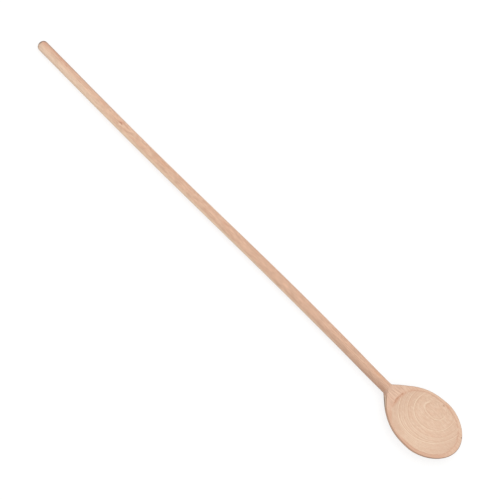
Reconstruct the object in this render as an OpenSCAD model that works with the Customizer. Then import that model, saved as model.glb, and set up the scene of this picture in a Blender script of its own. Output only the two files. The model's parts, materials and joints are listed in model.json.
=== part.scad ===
// Long wooden stirring spoon: a carved beech head on a turned beech handle.
// The handle ends in a spigot that is glued into a blind socket in the neck of the head.
// The spoon lies on a flat surface, hollow side up: +X runs from the handle's end to the
// tip of the bowl, +Z is up, and the origin is under the middle of the spoon.
// All sizes are millimetres. Heights inside the modules are measured from the handle's axis.

/* [Spoon] */
// Length of the whole spoon, from the end of the handle to the tip of the bowl
spoon_length = 800; // [640:5:1000]
// Length of the head, from the shoulder to the tip
head_length = 128; // [110:1:150]
// Greatest width of the head
head_width = 84.5; // [70:0.5:100]
// Greatest thickness of the head, from its flat face to the bottom of its back
head_thickness = 19.5; // [17:0.5:26]

/* [Handle] */
// Diameter of the grip, the even part of the handle
grip_d = 15.2; // [13:0.1:18]
// Length of the even part, measured from the end of the handle
grip_length = 190; // [120:5:240]
// Diameter at the thickest place of the handle
swell_d = 16.5; // [15:0.1:20]
// Distance from the shoulder back to the thickest place
swell_back = 142; // [100:2:200]
// Diameter of the neck, where handle and head meet
neck_d = 16.1; // [15:0.1:20]
// Length of the rounded end of the handle
end_dome = 6.5; // [3:0.5:9]

/* [Glued joint] */
// Diameter of the spigot on the handle
spigot_d = 10; // [8:0.2:11]
// Length of the spigot
spigot_length = 19; // [12:0.5:20]
// Chamfer on the tip of the spigot
spigot_chamfer = 1; // [0.4:0.1:2]
// Glue line round the spigot, per side
glue_line = 0.15; // [0.1:0.05:0.4]
// Glue left between the tip of the spigot and the bottom of the socket
glue_pool = 0.8; // [0.4:0.1:1.5]

/* [Outline of the head] */
// Distance from the tip back to the widest place
widest_from_tip = 51; // [44:0.5:62]
// Fullness of the front of the outline: 2 is an ellipse, and a lower value is more pointed
tip_fullness = 1.7; // [1.5:0.05:2.4]
// Angle at which each flank leaves the neck
flank_angle = 43; // [34:1:50]
// Pull of the flank's direction on the side of the outline
flank_run = 40; // [28:1:50]
// Pull of the widest place on the side of the outline
hip_run = 32; // [24:1:40]

/* [Flat face and hollow] */
// How far the flat face lies below the top of the neck
face_drop = 0.35; // [0.1:0.05:1.5]
// Length of the flat between the shoulder and the hollow
neck_land = 18; // [15:0.5:24]
// Width of the flat between the hollow and the tip
tip_land = 7; // [4:0.5:12]
// Width of the rim at the sides, between the hollow and the outline
side_land = 3.9; // [2.5:0.1:8]
// Depth of the hollow
hollow_depth = 10.5; // [7:0.5:12]
// Fullness of the hollow: a higher value has a flatter floor and steeper sides
hollow_fullness = 2.4; // [2:0.1:3]

/* [Back of the head] */
// Height of the upright edge of the head, below the flat face
edge_height = 5; // [3.5:0.5:6]
// Radius that breaks the edge between the flat face and the outline
edge_round = 1.2; // [0.4:0.1:2]
// Fullness of the back: 2 is an ellipse, and a higher value is boxier
back_fullness = 1.95; // [1.7:0.05:2.6]
// Length over which the round neck turns into the flat-faced head
neck_blend = 28; // [20:1:36]

/* [Hidden] */

head_colour = [0.89, 0.77, 0.66];
handle_colour = [0.87, 0.71, 0.60];
glue_colour = [0.93, 0.88, 0.72];

// Ribs from tip to shoulder on each side, a multiple of 2, and points along each rib
rib_count = 48;
edge_steps = 4;
back_steps = 11;
hollow_rings = 9;
turn_steps = 8;
dome_steps = 10;
round_fn = 96;

grip_r = grip_d / 2;
swell_r = swell_d / 2;
neck_r = neck_d / 2;
spigot_r = spigot_d / 2;
socket_r = spigot_r + glue_line;
socket_depth = spigot_length + glue_pool;

shoulder_x = spoon_length - head_length;
swell_x = shoulder_x - swell_back;
widest_x = spoon_length - widest_from_tip;
half_width = head_width / 2;

face_z = neck_r - face_drop;
edge_z = face_z - edge_height;
back_z = face_z - head_thickness;

hollow_start = shoulder_x + neck_land;
hollow_end = spoon_length - tip_land;
hollow_mid = (hollow_start + hollow_end) / 2;
hollow_half_length = (hollow_end - hollow_start) / 2;
hollow_half_width = half_width - side_land;
// The end of the hollow by the neck is a little squarer than an ellipse
hollow_squareness = 2.25;

// The spoon rests on the bottom of its back and on the end of the grip
rest_angle = atan2(-back_z - grip_r, widest_x - end_dome);
rest_lift = grip_r * cos(rest_angle) - end_dome * sin(rest_angle);
rest_reach = spoon_length * cos(rest_angle) - edge_z * sin(rest_angle);

function mix(a, b, t) = a + (b - a) * t;
function ease(t) = let (u = max(0, min(1, t))) u * u * (3 - 2 * u);
// Point on a quarter of a superellipse of unit size, at angle a of 0 to 90 degrees
function quarter(a, fullness) = [pow(cos(a), 2 / fullness), pow(sin(a), 2 / fullness)];
function cubic(p, t) = pow(1 - t, 3) * p[0] + 3 * t * pow(1 - t, 2) * p[1]
    + 3 * t * t * (1 - t) * p[2] + pow(t, 3) * p[3];

// Side of the outline from the widest place back to the shoulder
flank = [
    [widest_x, half_width],
    [widest_x - hip_run, half_width],
    [shoulder_x + flank_run * cos(flank_angle), neck_r + flank_run * sin(flank_angle)],
    [shoulder_x, neck_r]
];

// Ribs are numbered from the tip, 0, through the widest place to the shoulder, rib_count
function rib_angle(i) = 180 * i / rib_count;
function outline_point(i) = rib_angle(i) <= 90
    ? [widest_x + widest_from_tip * pow(cos(rib_angle(i)), 2 / tip_fullness), half_width * sin(rib_angle(i))]
    : cubic(flank, rib_angle(i) / 90 - 1);
function hollow_point(i) = rib_angle(i) <= 90
    ? [hollow_mid + hollow_half_length * cos(rib_angle(i)), hollow_half_width * sin(rib_angle(i))]
    : let (q = quarter(180 - rib_angle(i), hollow_squareness))
      [hollow_mid - hollow_half_length * q[0], hollow_half_width * q[1]];

// Place on the centre line that a rib runs to: fanned round the widest place at the front,
// square to the centre line behind it
function keel_x(i) = min(widest_x, outline_point(i)[0]);
function keel_z(i) = let (t = (keel_x(i) - shoulder_x) / (widest_x - shoulder_x))
    mix(-neck_r, back_z, ease(t));
// 0 where the section is the round neck, 1 where it is the flat-faced head
function headness(i) = ease((outline_point(i)[0] - shoulder_x) / neck_blend);

// Upright edge of a section from the flat face down, as [inset from the outline, height]
function neck_edge(j) = let (a = asin(face_z / neck_r) * (1 - j / edge_steps))
    [neck_r * (1 - cos(a)), neck_r * sin(a)];
function head_edge(j) = let (a = 90 * j / (edge_steps - 1))
    j < edge_steps
        ? [edge_round * (1 - sin(a)), face_z - edge_round * (1 - cos(a))]
        : [0, edge_z];

// One rib as points [x, y, z] on the +Y side, from the flat face to the keel
function rib(i) = let (
    h = headness(i),
    outer = outline_point(i),
    keel = [keel_x(i), 0],
    span = norm(outer - keel),
    inward = (keel - outer) / span,
    low = keel_z(i),
    side = mix(0, edge_z, h),
    fullness = mix(2, back_fullness, h)
) concat(
    [for (j = [0:edge_steps]) let (e = mix(neck_edge(j), head_edge(j), h), p = outer + inward * e[0])
        [p[0], p[1], e[1]]],
    [for (k = [1:back_steps]) let (q = quarter(90 * k / back_steps, fullness), p = mix(keel, outer, q[0]))
        [p[0], k == back_steps ? 0 : p[1], mix(side, low, q[1])]]
);

// One ring of the hollow, from its lip, k = 0, towards its floor
function hollow_ring_z(k) = let (r = 1 - k / (hollow_rings + 1))
    face_z - hollow_depth * (1 - pow(r, hollow_fullness));
function hollow_meridian(i) = let (lip = hollow_point(i), middle = [hollow_mid, 0]) [
    for (k = [0:hollow_rings]) let (p = mix(lip, middle, k / (hollow_rings + 1)))
        [p[0], p[1], hollow_ring_z(k)]
];

function mirrored(points) = [for (p = points) [p[0], -p[1], p[2]]];
// Triangles of a strip between two columns of points, given as lists of indices
function strip(a, b) = [
    for (k = [0:len(a) - 2]) for (t = [[a[k], b[k], b[k + 1]], [a[k], b[k + 1], a[k + 1]]])
        if (t[0] != t[1] && t[1] != t[2] && t[2] != t[0]) t
];

// The carved head before its socket is bored. Each column of points runs from the floor of
// the hollow up to its lip, over the rim, down the edge and under the back to the keel.
module carved_blank() {
    column = hollow_rings + 1 + edge_steps + 1 + back_steps;
    right = [for (i = [0:rib_count]) concat([for (k = [hollow_rings:-1:0]) hollow_meridian(i)[k]], rib(i))];
    left = [for (i = [rib_count:-1:1]) mirrored(right[i])];
    columns = concat(right, left);
    count = len(columns);
    floor_index = count * column;
    points = concat([for (c = columns) for (p = c) p], [[hollow_mid, 0, face_z - hollow_depth]]);

    // Points that two columns share on the centre line carry the index of the first of them
    lip = hollow_rings;
    keel = column - 1;
    function point_index(c, k) =
        k == keel && (c <= rib_count / 2 || c >= count - rib_count / 2) ? keel
        : k == keel && c > rib_count ? (2 * rib_count + 1 - c) * column + keel
        : k <= lip && c == rib_count + 1 ? rib_count * column + k
        : c * column + k;
    function column_indices(c) = concat([floor_index], [for (k = [0:keel]) point_index(c, k)]);

    neck_face = concat(
        [for (k = [lip + 1:keel - 1]) point_index(rib_count + 1, k)],
        [for (k = [keel:-1:lip + 1]) point_index(rib_count, k)]
    );
    neck_land_face = [point_index(rib_count, lip), point_index(rib_count + 1, lip + 1),
        point_index(rib_count, lip + 1)];
    faces = concat(
        [for (c = [0:count - 1]) if (c != rib_count)
            each strip(column_indices(c), column_indices((c + 1) % count))],
        [neck_face, neck_land_face]
    );
    polyhedron(points = points, faces = faces, convexity = 6);
}

// Turns a profile given as [distance along the spoon, radius] round the handle's axis
module turned(profile) {
    rotate([0, 90, 0]) rotate_extrude($fn = round_fn) polygon([for (p = profile) [p[1], p[0]]]);
}

function swell_profile(x_from, r_from, x_to, r_to) = [
    for (k = [1:turn_steps]) let (t = k / turn_steps) [mix(x_from, x_to, t), mix(r_from, r_to, ease(t))]
];
// Outline of the spigot from its root to the axis at its tip
function spigot_profile() = [
    [shoulder_x, spigot_r],
    [shoulder_x + spigot_length - spigot_chamfer, spigot_r],
    [shoulder_x + spigot_length, spigot_r - spigot_chamfer],
    [shoulder_x + spigot_length, 0]
];

// Lays the spoon down on its back and the end of its grip, with the origin below its middle
module laid_down() {
    translate([-rest_reach / 2, 0, rest_lift]) rotate([0, -rest_angle, 0]) children();
}

module spoon_head() {
    color(head_colour) laid_down() difference() {
        carved_blank();
        translate([shoulder_x - socket_depth, 0, 0]) rotate([0, 90, 0])
            cylinder(r = socket_r, h = 2 * socket_depth, $fn = round_fn);
    }
}

module handle() {
    dome = [for (k = [0:dome_steps]) let (a = 90 * k / dome_steps)
        [end_dome * (1 - cos(a)), grip_r * sin(a)]];
    profile = concat(
        dome,
        [[grip_length, grip_r]],
        swell_profile(grip_length, grip_r, swell_x, swell_r),
        swell_profile(swell_x, swell_r, shoulder_x, neck_r),
        spigot_profile()
    );
    color(handle_colour) laid_down() turned(profile);
}

module glue_film() {
    socket_end = shoulder_x + socket_depth;
    profile = concat(spigot_profile(), [
        [socket_end, 0],
        [socket_end, socket_r],
        [shoulder_x, socket_r]
    ]);
    color(glue_colour) laid_down() turned(profile);
}

spoon_head();
handle();
glue_film();
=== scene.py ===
"""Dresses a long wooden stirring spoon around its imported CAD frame.

The spoon is a carved beech head on a turned beech handle, whose spigot is glued into the
head's neck. Both are modelled here ring by ring, in the spoon's own frame: x runs from the
end of the handle to the tip of the bowl, and z is measured from the handle's axis, in
millimetres. A finished mesh is then laid down into the frame of the CAD model, in metres.
"""

import json
import logging
import math
from collections.abc import Callable
from dataclasses import dataclass, field
from enum import Enum
from functools import cache
from typing import Any

import bmesh
import bpy
from mathutils import Euler, Matrix, Vector, noise

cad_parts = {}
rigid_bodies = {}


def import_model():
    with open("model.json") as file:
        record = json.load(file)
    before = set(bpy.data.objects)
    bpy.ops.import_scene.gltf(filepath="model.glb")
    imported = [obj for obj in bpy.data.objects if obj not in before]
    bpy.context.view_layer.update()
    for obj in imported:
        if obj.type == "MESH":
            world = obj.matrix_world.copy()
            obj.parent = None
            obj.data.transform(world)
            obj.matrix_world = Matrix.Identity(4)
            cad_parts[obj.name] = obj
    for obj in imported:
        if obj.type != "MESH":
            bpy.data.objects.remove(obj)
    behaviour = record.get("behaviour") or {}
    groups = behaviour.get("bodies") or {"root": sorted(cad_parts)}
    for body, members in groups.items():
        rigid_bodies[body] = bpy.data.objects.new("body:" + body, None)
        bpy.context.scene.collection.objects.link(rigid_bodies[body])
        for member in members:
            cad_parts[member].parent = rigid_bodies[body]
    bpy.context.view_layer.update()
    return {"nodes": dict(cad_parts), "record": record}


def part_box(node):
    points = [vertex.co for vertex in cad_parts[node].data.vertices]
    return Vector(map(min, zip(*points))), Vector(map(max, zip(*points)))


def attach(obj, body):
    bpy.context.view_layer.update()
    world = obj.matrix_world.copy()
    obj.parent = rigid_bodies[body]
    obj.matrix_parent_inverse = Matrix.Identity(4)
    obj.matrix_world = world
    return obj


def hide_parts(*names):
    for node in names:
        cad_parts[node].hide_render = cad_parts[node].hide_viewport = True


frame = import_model()

LOG = logging.getLogger("spoon")
BODY = "root"
MM = 0.001

# Sizes are in mm and angles in degrees, in the spoon's own frame.
TIP_X = 800.0
END_DOME = 6.5
SHARP_ABOVE = 35.0
TOUCHING = 0.01

Colour = tuple[float, float, float, float]
Socket = bpy.types.NodeSocket
Value = Socket | float | tuple[float, ...]


class Node(Enum):
    """The CAD nodes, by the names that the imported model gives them."""

    HEAD = "spoon_head"
    HANDLE = "handle"
    GLUE = "glue_film"


class Slot(Enum):
    """The record's material slots."""

    HEAD_WOOD = "head_wood"
    HANDLE_WOOD = "handle_wood"
    GLUE = "glue"


def ease(t: float) -> float:
    """Goes smoothly from 0 to 1 as t does, and stays there outside that span."""
    u = max(0.0, min(1.0, t))
    return u * u * (3 - 2 * u)


def blend(a: float, b: float, t: float) -> float:
    """The value that lies the share t of the way from a to b."""
    return a + (b - a) * t


def srgb(red: int, green: int, blue: int) -> Colour:
    """Turns a colour as a screen shows it, 0 to 255 per channel, into Blender's linear colour.

    Args:
        red: Red, 0 to 255.
        green: Green, 0 to 255.
        blue: Blue, 0 to 255.

    Returns:
        The linear colour with full alpha.
    """
    channels = []
    for level in (red, green, blue):
        c = level / 255
        channels.append(c / 12.92 if c <= 0.04045 else ((c + 0.055) / 1.055) ** 2.4)
    return (*channels, 1.0)


def grey(level: float) -> Colour:
    """The grey of a linear level, with full alpha."""
    return (level, level, level, 1.0)


def grip_mount() -> dict[str, Any]:
    """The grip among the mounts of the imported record."""
    return next(mount for mount in frame["record"]["mounts"] if mount["name"] == "grip")


@dataclass(frozen=True)
class SpoonLine:
    """The line that the spoon is built along: its own frame, laid down in the row frame."""

    end: Vector
    along: Vector

    @classmethod
    def from_grip(cls, grip: dict[str, Any]) -> "SpoonLine":
        """Finds the handle's axis and end, whose rounded part the grip leaves free.

        Args:
            grip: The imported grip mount.

        Returns:
            The line from the end of the handle towards the bowl.
        """
        along = -Vector(grip["axis"]).normalized()
        reach = (grip["dims"]["length_mm"] / 2 + END_DOME) * MM
        return cls(Vector(grip["pos_m"]) - along * reach, along)

    def to_row(self) -> Matrix:
        """Gives the way from the spoon's own frame in mm to the row frame in metres.

        Returns:
            The matrix.
        """
        across = Vector((0, 1, 0))
        up = self.along.cross(across)
        turn = Matrix((self.along, across, up)).transposed().to_4x4()
        return Matrix.Translation(self.end) @ turn @ Matrix.Scale(MM, 4)


class RingSkin:
    """A skin modelled as by hand: a circle is added, and its edge is extruded ring by ring.

    Each vertex keeps the number of its spoke through every extrusion, so that a ring is set
    in place by a formula of the spoke.
    """

    def __init__(self, name: str, spokes: int, radius: float, place: Vector, facing: Euler) -> None:
        """Adds the first ring and numbers its spokes.

        Args:
            name: Name of the piece.
            spokes: Number of vertices in a ring.
            radius: Radius of the first circle.
            place: Centre of the first circle.
            facing: Turn of the first circle.
        """
        deselect_all()
        bpy.ops.mesh.primitive_circle_add(
            vertices=spokes, radius=radius, location=place, rotation=facing
        )
        self.piece = bpy.context.object
        self.piece.name = name
        self.piece.data.name = name
        bpy.ops.object.transform_apply(location=True, rotation=True, scale=True)
        bpy.ops.object.mode_set(mode="EDIT")
        bpy.ops.mesh.select_mode(type="VERT")
        bpy.ops.mesh.select_all(action="SELECT")
        self.rings = 0
        mesh = self.edited()
        spoke = mesh.verts.layers.int.new("spoke")
        mesh.verts.layers.int.new("ring")
        mesh.verts.ensure_lookup_table()
        for n, vertex in enumerate(mesh.verts):
            vertex[spoke] = n

    def edited(self) -> bmesh.types.BMesh:
        """The mesh in edit mode."""
        return bmesh.from_edit_mesh(self.piece.data)

    def set_ring(self, where: Callable[[int], Vector]) -> None:
        """Moves each selected vertex to its place, and gives it the ring's number.

        Args:
            where: Gives the place of a spoke.
        """
        mesh = self.edited()
        spoke = mesh.verts.layers.int["spoke"]
        ring = mesh.verts.layers.int["ring"]
        for vertex in mesh.verts:
            if vertex.select:
                vertex.co = where(vertex[spoke])
                vertex[ring] = self.rings
        bmesh.update_edit_mesh(self.piece.data)

    def grow(self, where: Callable[[int], Vector]) -> None:
        """Extrudes the selected ring and sets the new one in place.

        Args:
            where: Gives the new place of a spoke.
        """
        bpy.ops.mesh.extrude_region_move()
        self.rings += 1
        self.set_ring(where)

    def grow_to(self, point: Vector) -> None:
        """Extrudes the selected ring to one point."""
        self.grow(lambda spoke: point)
        bpy.ops.mesh.merge(type="CENTER")

    def select_ring(self, number: int) -> None:
        """Selects a ring and nothing else.

        Args:
            number: Number of the ring, the first being 0.
        """
        bpy.ops.mesh.select_all(action="DESELECT")
        mesh = self.edited()
        ring = mesh.verts.layers.int["ring"]
        for vertex in mesh.verts:
            vertex.select = vertex[ring] == number
        mesh.select_flush(True)
        bmesh.update_edit_mesh(self.piece.data)

    def crease_ring(self, number: int, until_x: float, sharpness: float) -> None:
        """Keeps a stretch of a ring sharp when the skin is subdivided.

        Args:
            number: Number of the ring.
            until_x: The ring is sharp up to this distance along the spoon.
            sharpness: 0 for a soft edge, 1 for a hard one.
        """
        self.select_ring(number)
        bpy.ops.mesh.select_mode(type="EDGE")
        mesh = self.edited()
        for edge in mesh.edges:
            if edge.select:
                edge.select = all(vertex.co.x < until_x for vertex in edge.verts)
        mesh.select_flush_mode()
        bmesh.update_edit_mesh(self.piece.data)
        bpy.ops.transform.edge_crease(value=sharpness)
        bpy.ops.mesh.select_mode(type="VERT")

    def bridge_halves(self, half: int) -> None:
        """Closes the selected ring by a bridge from its first half to its second.

        Args:
            half: Number of spokes in a half.
        """
        bpy.ops.mesh.select_mode(type="EDGE")
        mesh = self.edited()
        spoke = mesh.verts.layers.int["spoke"]
        for edge in mesh.edges:
            if edge.select:
                first, second = (v[spoke] < half for v in edge.verts)
                edge.select = first == second
        mesh.select_flush_mode()
        bmesh.update_edit_mesh(self.piece.data)
        bpy.ops.mesh.bridge_edge_loops()
        bpy.ops.mesh.select_mode(type="VERT")

    def close(self) -> None:
        """Turns the faces outwards and leaves edit mode."""
        bpy.ops.mesh.select_all(action="SELECT")
        bpy.ops.mesh.normals_make_consistent(inside=False)
        bpy.ops.object.mode_set(mode="OBJECT")

    def subdivide(self, levels: int) -> None:
        """Subdivides the piece and applies the modifier.

        Args:
            levels: Number of subdivisions.
        """
        select_only(self.piece)
        smooth = self.piece.modifiers.new("smooth", "SUBSURF")
        smooth.levels = levels
        smooth.render_levels = levels
        bpy.ops.object.modifier_apply(modifier=smooth.name)

    def lay_down(self, line: SpoonLine) -> bpy.types.Object:
        """Moves the mesh into the row frame and shades it smooth, apart from its sharp edges.

        Args:
            line: The spoon's line.

        Returns:
            The finished piece.
        """
        self.piece.data.transform(line.to_row())
        select_only(self.piece)
        bpy.ops.object.shade_smooth_by_angle(angle=math.radians(SHARP_ABOVE))
        return self.piece


def deselect_all() -> None:
    """Leaves nothing selected, the CAD nodes among it."""
    for thing in bpy.context.view_layer.objects:
        thing.select_set(False)


def select_only(piece: bpy.types.Object) -> None:
    """Selects one piece, makes it the active one and leaves nothing else selected.

    Args:
        piece: The piece.
    """
    deselect_all()
    piece.select_set(True)
    bpy.context.view_layer.objects.active = piece


def held_radius(radius: float, step: float) -> float:
    """Radius for the vertices of an arc that lies on the wanted circle once it is subdivided.

    Args:
        radius: Wanted radius.
        step: Turn between two vertices, in radians.

    Returns:
        The radius for the vertices.
    """
    # Subdivision weighs a vertex with 4 and its two neighbours on the arc with 1 each.
    return radius * 6 / (4 + 2 * math.cos(step))


@dataclass
class SpoonHead:
    """The carved head: a flat-faced oval with a shallow hollow, a domed back and a round neck."""

    line: SpoonLine
    shoulder_x: float
    tip_x: float
    width: float = 84.5
    thickness: float = 19.5
    neck_r: float = 8.05
    socket_r: float = 5.15
    socket_depth: float = 19.8
    widest_from_tip: float = 51.0
    tip_fullness: float = 1.7
    flank_angle: float = 42.5
    flank_run: float = 40.0
    round_run: float = 1.5
    crowding: float = 1.35
    hip_run: float = 32.0
    face_drop: float = 0.35
    neck_land: float = 20.3
    tip_land: float = 7.0
    side_land: float = 3.9
    hollow_depth: float = 10.5
    hollow_fullness: float = 2.4
    hollow_squareness: float = 2.25
    edge_height: float = 5.0
    edge_round: float = 1.2
    back_fullness: float = 1.95
    neck_blend: float = 28.0
    facet_turn: float = 28.0
    facet_point: float = 3.0
    shoulder_point: float = 0.75
    facet_start: float = 1.6
    facet_run: float = 10.0
    facet_crease: float = 0.7
    corner_run: float = 5.5
    strip_run: float = 20.0
    strip_share: float = 0.4
    askew: float = 3.04
    sway: float = 2.4
    sway_run: float = 23.0
    unevenness: float = 0.16
    wave_lengths: tuple[float, float, float] = (23.0, 19.0, 9.0)
    lip_round: float = 0.9
    lip_drop: float = 0.12
    face_margin: float = 0.5
    ribs: int = 48
    hollow_rings: int = 12
    hollow_crowding: float = 0.95
    floor_share: float = 0.08
    edge_rings: int = 6
    back_rings: int = 15
    smoothing: int = 2
    half_width: float = field(init=False)
    widest_x: float = field(init=False)
    face_z: float = field(init=False)
    edge_z: float = field(init=False)
    back_z: float = field(init=False)
    hollow_mid: float = field(init=False)
    hollow_half_length: float = field(init=False)
    hollow_half_width: float = field(init=False)

    def __post_init__(self) -> None:
        """Works out the places that follow from the driving sizes."""
        self.half_width = self.width / 2
        self.widest_x = self.tip_x - self.widest_from_tip
        self.face_z = self.neck_r - self.face_drop
        self.edge_z = self.face_z - self.edge_height
        self.back_z = self.face_z - self.thickness
        hollow_start = self.shoulder_x + self.neck_land
        hollow_end = self.tip_x - self.tip_land
        self.hollow_mid = (hollow_start + hollow_end) / 2
        self.hollow_half_length = (hollow_end - hollow_start) / 2
        self.hollow_half_width = self.half_width - self.side_land

    def rib(self, spoke: int) -> tuple[int, int]:
        """Number of a spoke's rib, from the tip to the shoulder, and 1 or -1 for its side."""
        return (spoke, 1) if spoke < self.ribs else (2 * self.ribs - 1 - spoke, -1)

    def outline(self, rib: int) -> Vector:
        """The head's outline, on the side of positive y.

        The ribs crowd together towards the neck, so that its corner stays crisp.

        Args:
            rib: Number of the rib; the last one lies on the shoulder.

        Returns:
            The point, as x and y.
        """
        if rib == self.ribs - 1:
            return Vector((self.shoulder_x, self.neck_r))
        first = 90 / self.ribs
        angle = blend(first, 180, rib / (self.ribs - 2))
        if angle <= 90:
            turn = math.radians(angle)
            reach = math.cos(turn) ** (2 / self.tip_fullness)
            x = self.widest_x + self.widest_from_tip * reach
            return Vector((x, self.half_width * math.sin(turn)))
        flank = math.radians(self.flank_angle)
        corners = (
            Vector((self.widest_x, self.half_width)),
            Vector((self.widest_x - self.hip_run, self.half_width)),
            Vector((
                self.shoulder_x + self.flank_run * math.cos(flank),
                self.neck_r + self.flank_run * math.sin(flank),
            )),
            Vector((self.shoulder_x + self.round_run, self.neck_r)),
        )
        t = 1 - (2 - angle / 90) ** self.crowding
        shares = ((1 - t) ** 3, 3 * t * (1 - t) ** 2, 3 * t * t * (1 - t), t ** 3)
        return sum((c * share for c, share in zip(corners, shares)), Vector((0, 0)))

    def lip(self, rib: int) -> Vector:
        """The lip of the hollow, on the side of positive y.

        Args:
            rib: Number of the rib.

        Returns:
            The point, as x and y.
        """
        angle = math.radians((rib + 0.5) * 180 / self.ribs)
        fullness = 2 if angle <= math.pi / 2 else self.hollow_squareness
        along = math.copysign(abs(math.cos(angle)) ** (2 / fullness), math.cos(angle))
        across = math.sin(angle) ** (2 / fullness)
        x = self.hollow_mid + self.hollow_half_length * along
        return Vector((x, self.hollow_half_width * across))

    def keel(self, rib: int) -> Vector:
        """The point of the keel that a rib runs to, as x and y."""
        return Vector((min(self.widest_x, self.outline(rib).x), 0))

    def headness(self, rib: int) -> float:
        """0 where a rib belongs to the round neck, and 1 where it belongs to the flat head."""
        return ease((self.outline(rib).x - self.shoulder_x) / self.neck_blend)

    def set_in(self, rib: int) -> float:
        """How far the neck's round sets the edge in.

        Args:
            rib: Number of the rib.

        Returns:
            The share, 1 at the shoulder and 0 on the flat head.
        """
        past = self.outline(rib).x - self.shoulder_x
        quick = max(0.0, 1 - past / self.corner_run) ** 2
        slow = max(0.0, 1 - past / self.strip_run)
        return blend(quick, slow, self.strip_share)

    def edge_point(self, rib: int, side: int, step: int) -> Vector:
        """A point of the edge between the flat face and the back.

        At the shoulder the flat face runs out to a point, which lies on the far side of the
        round neck, so that the neck's round covers more of the near side.

        Args:
            rib: Number of the rib.
            side: 1 or -1, the side that the rib is on.
            step: 0 at the flat face, edge_rings at the bottom of the upright edge.

        Returns:
            The point, on the side of positive y.
        """
        point = self.facet_point if rib < self.ribs - 1 else self.shoulder_point
        top_turn = math.radians(90 - self.facet_turn * side - point)
        turn = top_turn * (1 - step / self.edge_rings)
        radius = held_radius(self.neck_r, top_turn / self.edge_rings)
        neck = (self.neck_r - radius * math.cos(turn), radius * math.sin(turn))
        head = (0.0, self.edge_z)
        if step < self.edge_rings:
            turn = math.radians(90 * step / (self.edge_rings - 1))
            inset = self.edge_round * (1 - math.sin(turn))
            head = (inset, self.face_z - self.edge_round * (1 - math.cos(turn)))
        h = self.headness(rib)
        outer = self.outline(rib)
        facet = ease((outer.x - self.shoulder_x - self.facet_start) / self.facet_run)
        rise = max(h, facet) if neck[1] > head[1] or step == 0 else h
        inward = (self.keel(rib) - outer).normalized()
        place = outer + inward * blend(head[0], neck[0], self.set_in(rib))
        return Vector((place.x, place.y, blend(neck[1], head[1], rise)))

    def back_point(self, rib: int, step: int) -> Vector:
        """A point of the domed back, on the side of positive y.

        Args:
            rib: Number of the rib.
            step: 0 at the upright edge, back_rings at the keel.

        Returns:
            The point.
        """
        h = self.headness(rib)
        power = 2 / blend(2, self.back_fullness, h)
        turn = math.pi / 2 * step / self.back_rings
        keel = self.keel(rib)
        place = keel.lerp(self.outline(rib), math.cos(turn) ** power)
        behind = (keel.x - self.shoulder_x) / (self.widest_x - self.shoulder_x)
        low = blend(-self.neck_r, self.back_z, ease(behind))
        z = blend(blend(0, self.edge_z, h), low, math.sin(turn) ** power)
        return Vector((place.x, place.y, z))

    def hollow_point(self, rib: int, radius: float) -> Vector:
        """A point of the hollow, on the side of positive y.

        Args:
            rib: Number of the rib.
            radius: Share of the way from the middle to the lip.

        Returns:
            The point.
        """
        place = Vector((self.hollow_mid, 0)).lerp(self.lip(rib), radius)
        z = self.face_z - self.hollow_depth * (1 - radius ** self.hollow_fullness)
        return Vector((place.x, place.y, z))

    def rim_point(self, rib: int, side: int, share: float, offset: float = 0.0) -> Vector:
        """A point of the flat rim.

        Args:
            rib: Number of the rib.
            side: 1 or -1, the side that the rib is on.
            share: Share of the way from the lip to the rounded edge.
            offset: Distance from there towards the edge, in mm.

        Returns:
            The point, on the side of positive y.
        """
        lip = self.lip(rib)
        edge = self.edge_point(rib, side, 0)
        way = edge.xy - lip
        place = lip + way * share + way.normalized() * min(offset, way.length / 3)
        return Vector((place.x, place.y, blend(self.face_z, edge.z, share)))

    def by_hand(self, point: Vector, side: int) -> Vector:
        """Puts a point on its side, and gives it the unevenness of hand work.

        The head points a little to the side of positive y, and its neck sways back for that.

        Args:
            point: The point on the side of positive y.
            side: 1 or -1.

        Returns:
            The point as carved.
        """
        past = max(0.0, point.x - self.shoulder_x)
        aside = past * math.tan(math.radians(self.askew)) - self.sway * ease(past / self.sway_run)
        y = point.y * side + aside
        along, across, deep = self.wave_lengths
        wave = noise.noise(Vector((point.x / along, y / across, point.z / deep)))
        lift = wave * self.unevenness * ease(past / self.neck_blend)
        return Vector((point.x, y, point.z + lift))

    def ring(self, shape: Callable[[int, int], Vector]) -> Callable[[int], Vector]:
        """Turns a shape given by rib and side into one given by spoke.

        Args:
            shape: Gives the point of a rib and side, as if on the side of positive y.

        Returns:
            A function from the spoke to its place.
        """
        def where(spoke: int) -> Vector:
            """The place of one spoke."""
            rib, side = self.rib(spoke)
            return self.by_hand(shape(rib, side), side)
        return where

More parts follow.
